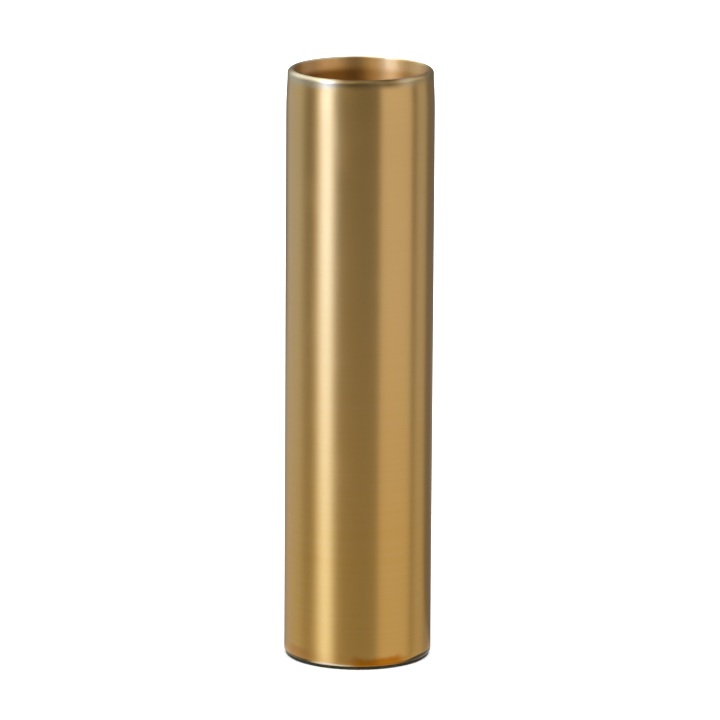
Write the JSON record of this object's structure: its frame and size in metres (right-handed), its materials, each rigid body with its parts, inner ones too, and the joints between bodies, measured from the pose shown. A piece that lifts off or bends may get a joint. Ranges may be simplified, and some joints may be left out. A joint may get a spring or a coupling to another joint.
{
  "type": "cylinder candle mould",
  "caption": "Brass cylinder candle mould, open at the top, with a lift-off base plug sealed by rubber rings and a thumb screw for the wick.",
  "frame": {"origin": "centre of the face that the mould stands on", "axes": "+Z along the tube's axis, up to the open mouth; X and Y are equal, with the screw's coin slot along X"},
  "size_m": [0.05, 0.05, 0.202],
  "materials": {
    "tube_brass": "satin, finely brushed around",
    "plug_brass": "fine turned",
    "screw_brass": "turned and knurled",
    "foot_rubber": "matte",
    "seal_rubber": "satin",
    "washer_rubber": "matte"
  },
  "bodies": {
    "base": {"base_plug": "plug_brass", "o_ring_lower": "seal_rubber", "o_ring_upper": "seal_rubber", "foot_ring": "foot_rubber"},
    "tube": {"mould_tube": "tube_brass"},
    "washer": {"wick_washer": "washer_rubber"},
    "screw": {"wick_screw": "screw_brass"}
  },
  "joints": [
    {"name": "tube_lift", "type": "slide", "parent": "base", "child": "tube", "axis": [0, 0, 1], "range_m": [0, 0.018]},
    {"name": "washer_drop", "type": "slide", "parent": "base", "child": "washer", "axis": [0, 0, -1], "range_m": [0, 0.007]},
    {"name": "screw_turn", "type": "hinge", "parent": "washer", "child": "screw", "pos_m": [0, 0, 0.003], "axis": [0, 0, -1], "range_deg": [0, 2520]}
  ],
  "couplings": [
    {"joint": "washer_drop", "follows": "screw_turn", "m_per_rad": 0.00015915}
  ]
}
